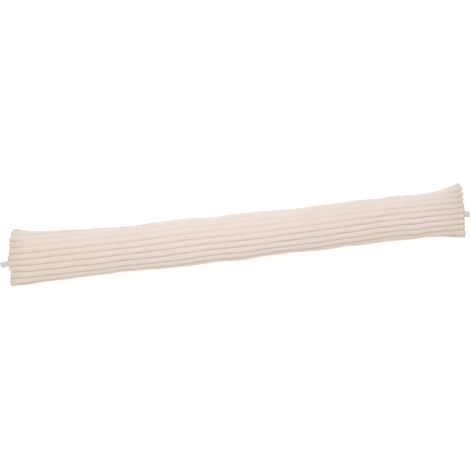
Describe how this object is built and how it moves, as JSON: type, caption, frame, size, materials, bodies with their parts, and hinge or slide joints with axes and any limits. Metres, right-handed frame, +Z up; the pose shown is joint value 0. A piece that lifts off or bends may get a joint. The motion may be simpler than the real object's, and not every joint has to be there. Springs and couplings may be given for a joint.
{
  "type": "ribbed plush draught excluder",
  "caption": "Long filled draught excluder of wide-ribbed cream plush, a plump tube lying on its back, sewn flat across both ends, with a small blank ribbon tab at each end",
  "frame": {"origin": "on the floor, at mid length, on the flat crown of the rib that runs under the middle of the tube", "axes": "+X along the tube towards its squarer end, +Y across it, +Z up out of the floor"},
  "size_m": [0.9379, 0.1117, 0.0548],
  "materials": {
    "ribbed_plush": "soft short-pile plush with wide ribs along its length, warm cream, matt with a soft sheen",
    "woven_ribbon": "thin woven ribbon, light grey, blank"
  },
  "bodies": {
    "root": {"cover": "ribbed_plush", "left_tab": "woven_ribbon", "right_tab": "woven_ribbon"}
  },
  "joints": []
}
